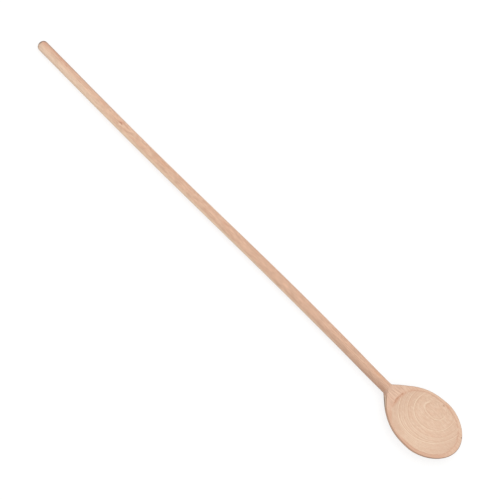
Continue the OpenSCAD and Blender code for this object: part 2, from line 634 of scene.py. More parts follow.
    def build(self) -> bpy.types.Object:
        """Models the head, closes it round the socket and subdivides it.

        Returns:
            The finished piece, in the row frame.
        """
        middle = Vector((self.hollow_mid, 0, self.face_z))
        skin = RingSkin("carved_head", 2 * self.ribs, self.hollow_half_width, middle, Euler())
        drop = Vector((0, 0, self.lip_drop * self.lip_round))
        skin.set_ring(self.ring(lambda rib, side: self.rim_point(rib, side, 0) - drop))
        lip_share = self.lip_round / self.hollow_half_width
        for step in range(self.hollow_rings + 1):
            left = 1 - step / (self.hollow_rings + 1)
            radius = max((1 - lip_share) * left ** self.hollow_crowding, self.floor_share)
            skin.grow(self.ring(lambda rib, side, r=radius: self.hollow_point(rib, r)))
        skin.bridge_halves(self.ribs)
        skin.select_ring(0)
        for share, offset in ((0, self.lip_round), (0.5, 0), (1, -self.face_margin)):
            skin.grow(self.ring(
                lambda rib, side, a=share, b=offset: self.rim_point(rib, side, a, b)
            ))
        face_ring = skin.rings + 1
        for step in range(self.edge_rings + 1):
            skin.grow(self.ring(lambda rib, side, n=step: self.edge_point(rib, side, n)))
        for step in range(1, self.back_rings):
            skin.grow(self.ring(lambda rib, side, n=step: self.back_point(rib, n)))
        skin.bridge_halves(self.ribs)
        skin.crease_ring(face_ring, self.shoulder_x + self.facet_run, self.facet_crease)
        self._bore_socket(skin)
        skin.close()
        self._mark_places(skin.piece, face_ring)
        skin.subdivide(self.smoothing)
        return skin.lay_down(self.line)

    def _bore_socket(self, skin: RingSkin) -> None:
        """Opens the flat end of the neck and extrudes the blind socket into it.

        Args:
            skin: The head's skin, in edit mode.
        """
        bpy.ops.mesh.select_mode(type="FACE")
        bpy.ops.mesh.select_all(action="DESELECT")
        mesh = skin.edited()
        for face in mesh.faces:
            face.select = all(abs(v.co.x - self.shoulder_x) < TOUCHING for v in face.verts)
        bmesh.update_edit_mesh(skin.piece.data)
        bpy.ops.mesh.delete(type="FACE")
        bpy.ops.mesh.select_mode(type="EDGE")
        bpy.ops.mesh.select_non_manifold(
            extend=False, use_wire=False, use_boundary=True, use_multi_face=False,
            use_non_contiguous=False, use_verts=False,
        )
        mesh = skin.edited()
        rim = sum(vertex.select for vertex in mesh.verts)
        radius = held_radius(self.socket_r, 2 * math.pi / rim)
        for x in (self.shoulder_x, self.shoulder_x + self.socket_depth):
            bpy.ops.transform.edge_crease(value=1)
            bpy.ops.mesh.extrude_region_move()
            self._round_off(skin, radius, x)
        bpy.ops.transform.edge_crease(value=1)
        bpy.ops.mesh.edge_face_add()

    @staticmethod
    def _round_off(skin: RingSkin, radius: float, x: float) -> None:
        """Spaces the selected loop evenly on a circle round the handle's axis.

        Args:
            skin: The head's skin, in edit mode.
            radius: Radius of the circle.
            x: Distance of its plane along the spoon.
        """
        mesh = skin.edited()
        turns = {v: math.atan2(v.co.y, v.co.z) % (2 * math.pi) for v in mesh.verts if v.select}
        step = 2 * math.pi / len(turns)
        in_order = sorted(turns, key=turns.get)
        first = sum(turns[v] - n * step for n, v in enumerate(in_order)) / len(turns)
        for n, vertex in enumerate(in_order):
            turn = first + n * step
            vertex.co = Vector((x, radius * math.sin(turn), radius * math.cos(turn)))
        bmesh.update_edit_mesh(skin.piece.data)

    def _mark_places(self, piece: bpy.types.Object, face_ring: int) -> None:
        """Writes three attributes for the material to read.

        The first says how far a vertex lies outside the hollow's lip, in mm, and is negative
        in the hollow. The second goes from 1 on the round neck to 0 on the flat head. The
        third goes from 0 on the flat face to 1 down the upright edge, and on to 2 on the back.

        Args:
            piece: The head before it is subdivided, in its own frame.
            face_ring: Number of the ring where the flat face ends.
        """
        lip_of = self.ring(lambda rib, side: self.rim_point(rib, side, 0))
        for name in ("lip", "neck", "side"):
            piece.data.attributes.new(name, "FLOAT", "POINT")
        spokes, rings, lips, necks, sides = (
            piece.data.attributes[name].data for name in ("spoke", "ring", "lip", "neck", "side")
        )
        for n, vertex in enumerate(piece.data.vertices):
            spoke = spokes[n].value
            ring = rings[n].value
            distance = (vertex.co.xy - lip_of(spoke).xy).length
            lips[n].value = -distance if 1 <= ring <= self.hollow_rings + 1 else distance
            necks[n].value = 1 - self.headness(self.rib(spoke)[0]) if ring > face_ring else 0.0
            sides[n].value = max(0.0, min(2.0, (ring - face_ring) / self.edge_rings))


@dataclass
class SpoonHandle:
    """The turned handle: an even grip, a slow swell, a narrower neck and the spigot beyond it."""

    line: SpoonLine
    shoulder_x: float
    grip_r: float
    end_dome: float = END_DOME
    grip_length: float = 190.0
    swell_r: float = 8.25
    swell_back: float = 142.0
    neck_r: float = 8.05
    spigot_r: float = 5.0
    spigot_length: float = 19.0
    spigot_chamfer: float = 1.0
    warp: float = 1.15
    warp_length: float = 600.0
    warp_middle: float = 350.0
    warp_fade: float = 60.0
    straight_run: float = 12.0
    lean: float = 0.3
    unevenness: float = 0.07
    wave_length: float = 31.0
    wave_turn: float = 1.3
    wave_fade: float = 30.0
    spokes: int = 72
    dome_rings: int = 9
    ring_step: float = 9.0

    def radius(self, x: float) -> float:
        """Radius of the handle between its rounded end and the shoulder.

        Args:
            x: Distance along the spoon.

        Returns:
            The radius.
        """
        swell_x = self.shoulder_x - self.swell_back
        if x <= swell_x:
            t = (x - self.grip_length) / (swell_x - self.grip_length)
            return blend(self.grip_r, self.swell_r, ease(t))
        return blend(self.swell_r, self.neck_r, ease((x - swell_x) / self.swell_back))

    def drift(self, x: float) -> float:
        """Sideways warp of the long rod, which dies away before the neck.

        Args:
            x: Distance along the spoon.

        Returns:
            The distance of the rod's middle from its axis.
        """
        phase = 2 * math.pi * (x - self.warp_middle) / self.warp_length
        straight = self.shoulder_x - self.straight_run
        return (self.lean + self.warp * math.sin(phase)) * ease((straight - x) / self.warp_fade)

    def point(self, x: float, radius: float, spoke: int) -> Vector:
        """A point of a ring round the handle, with the unevenness of turned wood.

        Args:
            x: Distance along the spoon.
            radius: Radius of the ring.
            spoke: Number of the spoke.

        Returns:
            The point.
        """
        turn = 2 * math.pi * spoke / self.spokes
        way = Vector((0, math.cos(turn), math.sin(turn)))
        spot = Vector((x / self.wave_length, way.y * self.wave_turn, way.z * self.wave_turn))
        fade = ease((self.shoulder_x - x) / self.wave_fade)
        off = noise.noise(spot) * self.unevenness * fade * (radius / self.grip_r)
        return Vector((x, self.drift(x), 0)) + way * (radius + off)

    def ring(self, x: float, radius: float) -> Callable[[int], Vector]:
        """Gives a function from the spoke to its place in a ring."""
        return lambda spoke: self.point(x, radius, spoke)

    def build(self) -> bpy.types.Object:
        """Models the handle from its rounded end to the tip of the spigot.

        Returns:
            The finished piece, in the row frame.
        """
        start = Vector((self.end_dome, 0, 0))
        facing = Euler((0, math.pi / 2, 0))
        skin = RingSkin("turned_handle", self.spokes, self.grip_r, start, facing)
        skin.set_ring(self.ring(self.end_dome, self.grip_r))
        for step in range(1, self.dome_rings):
            turn = math.pi / 2 * (1 - step / self.dome_rings)
            x = self.end_dome * (1 - math.cos(turn))
            skin.grow(self.ring(x, self.grip_r * math.sin(turn)))
        skin.grow_to(Vector((0, self.drift(0), 0)))
        skin.select_ring(0)
        count = round((self.shoulder_x - self.end_dome) / self.ring_step)
        for step in range(1, count + 1):
            x = blend(self.end_dome, self.shoulder_x, step / count)
            skin.grow(self.ring(x, self.radius(x)))
        tip_x = self.shoulder_x + self.spigot_length
        skin.grow(self.ring(self.shoulder_x, self.spigot_r))
        skin.grow(self.ring(tip_x - self.spigot_chamfer, self.spigot_r))
        skin.grow(self.ring(tip_x, self.spigot_r - self.spigot_chamfer))
        skin.grow_to(Vector((tip_x, 0, 0)))
        skin.close()
        return skin.lay_down(self.line)


@dataclass(frozen=True)
class Texture:
    """Smooth noise in the wood, cut to a mask from 0 to 1."""

    grain: tuple[float, float, float]
    detail: float
    low: float
    high: float


class Shader:
    """Adds nodes to one node tree and joins them."""

    def __init__(self, tree: bpy.types.NodeTree) -> None:
        """Takes the tree and empties it."""
        self.tree = tree
        tree.nodes.clear()

    def node(
        self, kind: str, inputs: dict[str | int, Value] | None = None, **settings: object
    ) -> bpy.types.Node:
        """Adds a node.

        Args:
            kind: Blender's name of the node type.
            inputs: Values or sockets for its inputs, by name or number.
            **settings: Properties of the node.

        Returns:
            The node.
        """
        made = self.tree.nodes.new(kind)
        for name, value in settings.items():
            setattr(made, name, value)
        for name, value in (inputs or {}).items():
            self.feed(made.inputs[name], value)
        return made

    def feed(self, socket: Socket, value: Value) -> None:
        """Links a socket to an input, or sets the input's own value.

        Args:
            socket: The input.
            value: The socket to link, or the value to set.
        """
        if isinstance(value, Socket):
            self.tree.links.new(value, socket)
        else:
            socket.default_value = value

    def group(self, tree: bpy.types.NodeTree, **inputs: Value) -> bpy.types.bpy_prop_collection:
        """Places a node group.

        Args:
            tree: The group's node tree.
            **inputs: Values or sockets for its inputs, by name.

        Returns:
            The group's outputs.
        """
        made = self.node("ShaderNodeGroup", node_tree=tree)
        for name, value in inputs.items():
            self.feed(made.inputs[name], value)
        return made.outputs

    def math(self, operation: str, *values: Value) -> Socket:
        """The result of a Math node."""
        return self.node("ShaderNodeMath", dict(enumerate(values)), operation=operation).outputs[0]

    def product(self, first: Value, *others: Value) -> Value:
        """The product of several values.

        Args:
            first: The first value.
            *others: The other values.

        Returns:
            The product.
        """
        for other in others:
            first = self.math("MULTIPLY", first, other)
        return first

    def total(self, start: Value, *parts: tuple[Value, Value]) -> Value:
        """The sum of a start and of values times their weights.

        Args:
            start: What the values are added to.
            *parts: Each value with its weight.

        Returns:
            The sum.
        """
        for value, weight in parts:
            start = self.math("MULTIPLY_ADD", value, weight, start)
        return start

    def vector(self, operation: str, *values: Value) -> Socket:
        """The vector that a Vector Math node gives."""
        inputs = dict(enumerate(values))
        return self.node("ShaderNodeVectorMath", inputs, operation=operation).outputs[0]

    def length(self, vector: Value) -> Socket:
        """The length of a vector."""
        return self.node("ShaderNodeVectorMath", {0: vector}, operation="LENGTH").outputs["Value"]

    def split(self, vector: Value) -> tuple[Socket, Socket, Socket]:
        """The x, y and z of a vector."""
        parts = self.node("ShaderNodeSeparateXYZ", {0: vector}).outputs
        return parts[0], parts[1], parts[2]

    def span(self, value: Value, low: Value, high: Value) -> Socket:
        """0 where a value is at low, 1 where it is at high, and smooth between them."""
        inputs = {"Value": value, "From Min": low, "From Max": high}
        return self.node("ShaderNodeMapRange", inputs, interpolation_type="SMOOTHSTEP").outputs[0]

    def band(self, value: Value, middle: float, low: Value, high: Value) -> Socket:
        """0 where a value's distance from a middle is at low, and 1 where it is at high."""
        off = self.math("SUBTRACT", value, middle)
        return self.span(self.math("ABSOLUTE", off), low, high)

    def mix(self, share: Value, first: Value, second: Value) -> Socket:
        """The colour that lies the share of the way from the first to the second."""
        made = self.node("ShaderNodeMix", {0: share, 6: first, 7: second}, data_type="RGBA")
        return made.outputs[2]

    def lay(self, under: Value, over: Value, mask: Value, strength: Value) -> Socket:
        """Lays one colour over another where a mask says, at a given strength."""
        return self.mix(self.product(mask, strength), under, over)

    def shade(self, colour: Value, mask: Value, depth: float) -> Socket:
        """Darkens a colour where a mask is 1 and lightens it as much where it is 0."""
        inputs = {0: colour, 3: self.total(1 + depth / 2, (mask, -depth))}
        return self.node("ShaderNodeVectorMath", inputs, operation="SCALE").outputs[0]

    def luck(self, number: Value) -> Socket:
        """A value from 0 to 1 that belongs to a number, as if drawn by chance."""
        return self.node("ShaderNodeTexWhiteNoise", {"W": number}, noise_dimensions="1D").outputs[0]

    def noise(self, point: Value, grain: tuple[float, float, float], detail: float) -> Socket:
        """Smooth noise whose features have the given length along each axis.

        Args:
            point: The point, in mm.
            grain: Length of the features along x, y and z, in mm.
            detail: Number of finer octaves.

        Returns:
            The noise, about 0.5 on average.
        """
        scaled = self.vector("DIVIDE", point, grain)
        inputs = {"Vector": scaled, "Scale": 1.0, "Detail": detail}
        return self.node("ShaderNodeTexNoise", inputs).outputs[0]

    def wander(self, point: Value, grain: tuple[float, float, float], detail: float) -> Socket:
        """Smooth noise that is about 0 on average."""
        return self.math("SUBTRACT", self.noise(point, grain, detail), 0.5)

    def texture(self, point: Value, look: Texture) -> Socket:
        """The mask that a texture makes at a point."""
        return self.span(self.noise(point, look.grain, look.detail), look.low, look.high)


class ShaderGroup(Shader):
    """A shader node group that is being made: its inputs, and where its results go."""

    def __init__(
        self, name: str, inputs: dict[str, float | tuple[float, ...]], outputs: tuple[str, ...]
    ) -> None:
        """Starts the group.

        Args:
            name: Name of the group.
            inputs: Names and default values; a tuple makes a vector.
            outputs: Names of the values that it puts out.
        """
        super().__init__(bpy.data.node_groups.new(name, "ShaderNodeTree"))
        for key, value in inputs.items():
            kind = "NodeSocketVector" if isinstance(value, tuple) else "NodeSocketFloat"
            socket = self.tree.interface.new_socket(key, in_out="INPUT", socket_type=kind)
            socket.default_value = value
        for key in outputs:
            self.tree.interface.new_socket(key, in_out="OUTPUT", socket_type="NodeSocketFloat")
        self.given = self.node("NodeGroupInput").outputs
        self.results = self.node("NodeGroupOutput").inputs

    def put_out(self, **results: Value) -> None:
        """Feeds the group's outputs by name."""
        for name, value in results.items():
            self.feed(self.results[name], value)


# Parts of a yearly line's half thickness, or reach: the core at full strength, how far off
# the late wood lies, how far it reaches, and the reach of a finer line between two years.
LINE_CORE = 0.2
LATE_OFF = 1.6
LATE_REACH = 1.2
FINE_REACH = 0.7

# The half thickness of a line that lies flat in the surface, in mm, the finer lines in a
# year, the steepness over which lines come up, the faintest year's strength, and how many
# changes of tone there are to a mm of depth.
HAIRLINE = 0.02
SEASONS = 3.0
FLAT_TO_CUT = (0.05, 0.2)
FAINTEST_YEAR = 0.3
TONES_PER_MM = 0.3

# Features of the layers' slow sway and of their quick one, in mm, and how far each sways them.
SLOW_GRAIN = (70, 16, 16)
SLOW_SWAY = 2.0
QUICK_GRAIN = (9, 2.5, 2.5)
QUICK_SWAY = 0.7


def from_late_wood(s: Shader, off: Value, reach: Value) -> Socket:
    """Distance from the dark late wood, which lies on one side of a year's pale line.

    Args:
        s: The shader.
        off: Distance from the pale line, in mm.
        reach: Half the pale line's thickness, in mm.

    Returns:
        The distance, in mm.
    """
    return s.math("ABSOLUTE", s.total(off, (reach, LATE_OFF)))


def tree_depth(s: ShaderGroup) -> tuple[Socket, Socket]:
    """How deep in the tree a point lies.

    Args:
        s: The group of the growth layers.

    Returns:
        The depth in mm, and how steeply the layers climb across the spoon there.
    """
    point = s.given["Point"]
    x, y, z = s.split(point)
    curve = s.product(y, s.given["Cup"])
    level = s.product(y, s.math("ADD", s.given["Slope"], curve))
    off_middle = s.math("SUBTRACT", x, s.given["Middle"])
    level = s.total(level, (off_middle, s.given["Lean"]))
    slow = s.wander(point, SLOW_GRAIN, 1)
    quick = s.wander(point, QUICK_GRAIN, 2)
    sway = s.total(s.product(quick, QUICK_SWAY), (slow, SLOW_SWAY))
    depth = s.total(s.math("SUBTRACT", z, level), (sway, s.given["Wobble"]))
    return depth, s.total(s.given["Slope"], (curve, 2.0))


@cache
def growth_layers() -> bpy.types.NodeTree:
    """The tree's yearly layers, curved round its heart and cut by the surface.

    Returns:
        A group that puts out the depth within the tree, half the thickness that a line of the
        given width has in that depth, the yearly lines of early wood, the finer lines between
        them, the darker late wood beside them and a slow change of tone.
    """
    inputs = {
        "Point": (0.0, 0.0, 0.0), "Normal": (0.0, 0.0, 1.0), "Slope": 0.2, "Cup": 0.0, "Lean": 0.0,
        "Middle": 400.0, "Period": 1.0, "Wobble": 0.4, "Width": 0.5,
    }
    s = ShaderGroup("growth_layers", inputs, ("Depth", "Reach", "Pale", "Fine", "Late", "Tone"))
    period = s.given["Period"]
    depth, climb = tree_depth(s)
    across = s.node("ShaderNodeCombineXYZ", {"Y": s.product(climb, -1.0), "Z": 1.0}).outputs[0]
    steepness = s.length(s.vector("CROSS_PRODUCT", across, s.given["Normal"]))
    cut = s.span(steepness, *FLAT_TO_CUT)
    reach = s.total(HAIRLINE, (steepness, s.given["Width"]))
    core = s.product(reach, LINE_CORE)

    place = s.math("DIVIDE", depth, period)
    year = s.math("ROUND", place)
    off = s.product(s.math("SUBTRACT", place, year), period)
    strength = s.product(s.total(FAINTEST_YEAR, (s.luck(year), 1 - FAINTEST_YEAR)), cut)
    pale = s.span(s.math("ABSOLUTE", off), reach, core)
    late = s.span(from_late_wood(s, off, reach), s.product(reach, LATE_REACH), core)

    finer = s.product(place, SEASONS)
    season = s.math("ROUND", finer)
    off_season = s.product(s.math("SUBTRACT", finer, season), period, 1 / SEASONS)
    fine = s.span(s.math("ABSOLUTE", off_season), s.product(reach, FINE_REACH), core)
    tone = {"W": s.product(depth, TONES_PER_MM), "Scale": 1.0, "Detail": 1.0}
    s.put_out(
        Depth=depth,
        Reach=reach,
        Pale=s.product(pale, strength),
        Late=s.product(late, strength),
        Fine=s.product(fine, s.luck(season), cut),
        Tone=s.node("ShaderNodeTexNoise", tone, noise_dimensions="1D").outputs[0],
    )
    return s.tree


# The core of a ring that stands out, as a part of its reach.
WIDE_CORE = 0.45


@cache
def wide_ring() -> bpy.types.NodeTree:
    """One year's ring that stands out.

    Returns:
        A group that puts out the ring's pale early wood and the dark late wood beside it.
    """
    s = ShaderGroup("wide_ring", {"Depth": 0.0, "Reach": 0.2, "Level": 0.0}, ("Pale", "Late"))
    reach = s.given["Reach"]
    off = s.math("SUBTRACT", s.given["Depth"], s.given["Level"])
    core = s.product(reach, WIDE_CORE)
    pale = s.span(s.math("ABSOLUTE", off), reach, core)
    s.put_out(Pale=pale, Late=s.span(from_late_wood(s, off, reach), reach, core))
    return s.tree


# What runs along the spoon, by the name of the group's output.
FIBRE_TEXTURES = {
    "Streak": Texture((120, 3.2, 3.2), 3, 0.33, 0.68),
    "Blotch": Texture((11, 2.6, 2.6), 3, 0.4, 0.62),
    "Mottle": Texture((5.2, 2.0, 2.0), 1, 0.36, 0.64),
    "Line": Texture((34, 1.3, 1.3), 2, 0.32, 0.7),
    "Strand": Texture((13, 0.9, 0.9), 1, 0.36, 0.64),
    "Fibre": Texture((14, 0.42, 0.42), 3, 0.3, 0.72),
    "Pore": Texture((1.6, 0.13, 0.13), 0, 0.64, 0.76),
}


@cache
def fibre_grain() -> bpy.types.NodeTree:
    """What runs along the spoon in the wood, from broad streaks down to single pores.

    Returns:
        A group that puts out the fibre textures, each from 0 to 1.
    """
    s = ShaderGroup("fibre_grain", {"Point": (0.0, 0.0, 0.0)}, tuple(FIBRE_TEXTURES))
    s.put_out(**{name: s.texture(s.given["Point"], look) for name, look in FIBRE_TEXTURES.items()})
    return s.tree


# The cells that the flecks lie in, in mm, the fleck's soft edge as parts of its cell, and the
# share of the cells that hold one.
FLECK_CELL = (3.4, 0.75, 4.0)
FLECK_EDGE = (0.34, 0.14)
FLECK_SHARE = 0.5


@cache
def ray_flecks() -> bpy.types.NodeTree:
    """The short spindle-shaped flecks that beech has.

    Returns:
        A group that puts out a mask of the flecks.
    """
    s = ShaderGroup("ray_flecks", {"Point": (0.0, 0.0, 0.0), "Slope": 0.4}, ("Fleck",))
    turn = {"Vector": s.given["Point"], "Angle": s.math("ARCTANGENT", s.given["Slope"])}
    turned = s.node("ShaderNodeVectorRotate", turn, rotation_type="X_AXIS").outputs[0]
    scaled = s.vector("DIVIDE", turned, FLECK_CELL)
    cells = s.node("ShaderNodeTexVoronoi", {"Vector": scaled, "Scale": 1.0, "Randomness": 1.0})
    body = s.span(cells.outputs["Distance"], *FLECK_EDGE)
    chance = s.split(cells.outputs["Color"])[0]
    s.put_out(Fleck=s.product(body, s.math("LESS_THAN", chance, FLECK_SHARE)))
    return s.tree


# Features of a mark's ragged outline, in mm, and its core as a part of its reach.
MARK_GRAIN = (9, 1.2, 1.2)
MARK_CORE = 0.25


@cache
def soft_mark() -> bpy.types.NodeTree:
    """One soft-edged mark in the wood, such as a pin knot or a warmer streak.

    Returns:
        A group that puts out the mark's mask.
    """
    origin = (0.0, 0.0, 0.0)
    inputs = {"Point": origin, "Centre": origin, "Reach": (1.0, 1.0, 1.0), "Ragged": 0.3}
    s = ShaderGroup("soft_mark", inputs, ("Mask",))
    off = s.vector("SUBTRACT", s.given["Point"], s.given["Centre"])
    shares = s.vector("DIVIDE", off, s.given["Reach"])
    rough = s.wander(s.given["Point"], MARK_GRAIN, 2)
    far = s.total(s.length(shares), (rough, s.given["Ragged"]))
    s.put_out(Mask=s.span(far, 1.0, MARK_CORE))
    return s.tree


# Features of the sanding scratches, in mm, and the roughness before the wood changes it.
SCRATCH_GRAIN = (5.0, 0.3, 0.6)
BARE_ROUGHNESS = 0.52


@cache
def sanded_relief() -> bpy.types.NodeTree:
    """The faint relief of sanded wood, and the change of gloss that goes with it.

    Returns:
        A group that puts out the height for a Bump node, in mm, and a roughness.
    """
    inputs = {"Point": (0.0, 0.0, 0.0), "Fibre": 0.5, "Fleck": 0.0, "Late": 0.0}
    s = ShaderGroup("sanded_relief", inputs, ("Height", "Roughness"))
    scratches = s.noise(s.given["Point"], SCRATCH_GRAIN, 2)
    fibre, fleck, late = (s.given[name] for name in ("Fibre", "Fleck", "Late"))
    s.put_out(
        Height=s.total(0.0, (fibre, 0.012), (scratches, 0.014), (fleck, 0.01), (late, -0.01)),
        Roughness=s.total(BARE_ROUGHNESS, (fibre, 0.1), (fleck, -0.12), (scratches, 0.08)),
    )
    return s.tree


class Measure(Enum):
    """What says where on a piece a tone lies."""

    ALONG = "distance from the handle's end, in mm"
    PAST = "distance from the shoulder towards the tip, in mm"
    ACROSS = "distance from the axis towards the far side, in mm"
    UP = "height above the axis, in mm"
    LIP = "distance outside the lip of the hollow, in mm"
    CARVED_LIP = "the same from the lip as the tool left it, a little uneven"
    SIDE = "0 on the flat face, 1 down the upright edge, 2 on the back"
    NECK = "1 on the round neck, 0 on the flat head"
    PATCH = "0 to 1, in soft patches"


Places = dict[Measure, Socket]


@dataclass(frozen=True)
class Fade:
    """A soft limit: nothing at one value of a measure, or of its distance from a middle."""

    by: Measure
    none: float
    full: float
    middle: float | None = None

    def mask(self, s: Shader, places: Places) -> Socket:
        """The fade as a mask.

        Args:
            s: The material's shader.
            places: The measures.

        Returns:
            0 where there is nothing, 1 where it is full.
        """
        if self.middle is None:
            return s.span(places[self.by], self.none, self.full)
        return s.band(places[self.by], self.middle, self.none, self.full)


Fades = tuple[Fade, ...]


def masked(s: Shader, places: Places, fades: Fades) -> Value:
    """The mask that several fades leave together."""
    return s.product(*(fade.mask(s, places) for fade in fades))


@dataclass(frozen=True)
class TwoTone:
    """A colour that goes over into another."""

    first: Colour
    second: Colour
    fade: Fade


@dataclass(frozen=True)
class Tone:
    """A colour that is laid over a part of a piece, and the fades that bound the part."""

    colour: Colour | TwoTone
    strength: float
    fades: Fades


@dataclass(frozen=True)
class Mark:
    """A mark in the wood: a knot, a fleck, a dark line or a warmer streak."""

    centre: tuple[float, float, float]
    reach: tuple[float, float, float]
    colour: Colour
    strength: float = 0.5
    ragged: float = 0.3


@dataclass(frozen=True)
class Grain:
    """What the nodes of a blank put out, before the piece's own tones are laid over it."""

    point: Socket
    colour: Socket
    height: Socket
    roughness: Socket
    depth: Socket
    reach: Socket
    strand: Socket


@dataclass(frozen=True)
class Beech:
    """Raw sanded beech: the tones of one blank and the way its grain lies."""

    name: str
    line: SpoonLine
    body: Colour
    light: Colour
    warm: Colour
    early: Colour
    late: Colour
    fleck: Colour
    dim: Colour
    bright: Colour
    end_grain_and_shade: Colour
    end_from: tuple[float, float]
    slope: float
    cup: float
    lean: float
    middle: float
    period: float
    wobble: float
    line_width: float
    layer_contrast: float
    blotchiness: float
    mottling: float
    fleckiness: float
    tones: tuple[Tone, ...]
    marks: tuple[Mark, ...]

    def grain(self, s: Shader) -> Grain:
        """Lays out the nodes that every face of the blank shares.

        Args:
            s: The material's shader.

        Returns:
            What the nodes put out.
        """
        own = s.node("ShaderNodeTexCoord").outputs
        to_own = {
            "Vector": own["Object"], "Location": self.line.end,
            "Rotation": self.line.to_row().to_euler(), "Scale": (MM, MM, MM),
        }
        point = s.node("ShaderNodeMapping", to_own, vector_type="TEXTURE").outputs[0]
        layers = s.group(
            growth_layers(), Point=point, Normal=own["Normal"], Slope=self.slope, Cup=self.cup,
            Lean=self.lean, Middle=self.middle, Period=self.period, Wobble=self.wobble,
            Width=self.line_width,
        )
        along = s.group(fibre_grain(), Point=point)
        fleck = s.group(ray_flecks(), Point=point, Slope=self.slope)["Fleck"]
        cut_across = s.span(s.math("ABSOLUTE", s.split(own["Normal"])[0]), *self.end_from)
        colour = s.lay(self.body, self.light, layers["Tone"], 0.8)
        colour = s.mix(self.mottling, colour, s.mix(along["Mottle"], self.bright, self.dim))
        # Each overlay is a colour, the mask that it lies in and its strength.
        overlays = (
            (self.warm, along["Streak"], 0.35),
            (self.warm, along["Blotch"], self.blotchiness),
            (self.late, along["Line"], 0.2),
            (self.early, layers["Fine"], 0.8 * self.layer_contrast),
            (self.early, layers["Pale"], 0.9 * self.layer_contrast),
            (self.late, layers["Late"], 0.7 * self.layer_contrast),
            (self.late, along["Fibre"], 0.1),
            (self.fleck, along["Pore"], 0.12),
            (self.fleck, fleck, self.fleckiness),
            # The end-grain tone next also carries painted shade on the handle's rounded end.
            (self.end_grain_and_shade, cut_across, 0.5),
        )
        for over, mask, strength in overlays:
            colour = s.lay(colour, over, mask, strength)
        relief = s.group(
            sanded_relief(), Point=point, Fibre=along["Fibre"], Fleck=fleck, Late=layers["Late"]
        )
        return Grain(
            point=point, colour=colour, height=relief["Height"], roughness=relief["Roughness"],
            depth=layers["Depth"], reach=layers["Reach"], strand=along["Strand"],
        )

    def toned(self, s: Shader, places: Places, colour: Socket) -> Socket:
        """Lays the blank's tones over a colour, in their order.

        Args:
            s: The material's shader.
            places: The measures that the tones' fades go by.
            colour: The colour so far.

        Returns:
            The colour with the tones.
        """
        for tone in self.tones:
            over = tone.colour
            if isinstance(over, TwoTone):
                over = s.mix(over.fade.mask(s, places), over.first, over.second)
            colour = s.lay(colour, over, masked(s, places, tone.fades), tone.strength)
        return colour

    def marked(self, s: Shader, point: Socket, colour: Socket) -> Socket:
        """Lays the blank's marks over a colour.

        Args:
            s: The material's shader.
            point: The point in mm.
            colour: The colour so far.

        Returns:
            The colour with the marks.
        """
        for mark in self.marks:
            place = {"Centre": mark.centre, "Reach": mark.reach, "Ragged": mark.ragged}
            mask = s.group(soft_mark(), Point=point, **place)["Mask"]
            colour = s.lay(colour, mark.colour, mask, mark.strength)
        return colour

    def tinted(self, s: Shader, grain: Grain) -> Socket:
        """The grain's colour with what one piece of the blank adds to it."""
        return grain.colour

    def material(self) -> bpy.types.Material:
        """Builds the material of one piece of this blank.

        Returns:
            The material.
        """
        made = bpy.data.materials.new(self.name)
        made.use_nodes = True
        s = Shader(made.node_tree)
        grain = self.grain(s)
        colour = self.marked(s, grain.point, self.tinted(s, grain))
        bump = s.node("ShaderNodeBump", {"Height": grain.height, "Strength": 0.8, "Distance": MM})
        inputs = {
            "Base Color": colour, "Roughness": grain.roughness, "Normal": bump.outputs[0],
            "Specular IOR Level": 0.32,
        }
        shader = s.node("ShaderNodeBsdfPrincipled", inputs)
        s.node("ShaderNodeOutputMaterial", {"Surface": shader.outputs[0]})
        return made


@dataclass(frozen=True)
class Ring:
    """One year's ring that stands out in the bowl, and how it strays from an even layer."""

    level: float
    strength: float
    lean: float
    bend: float


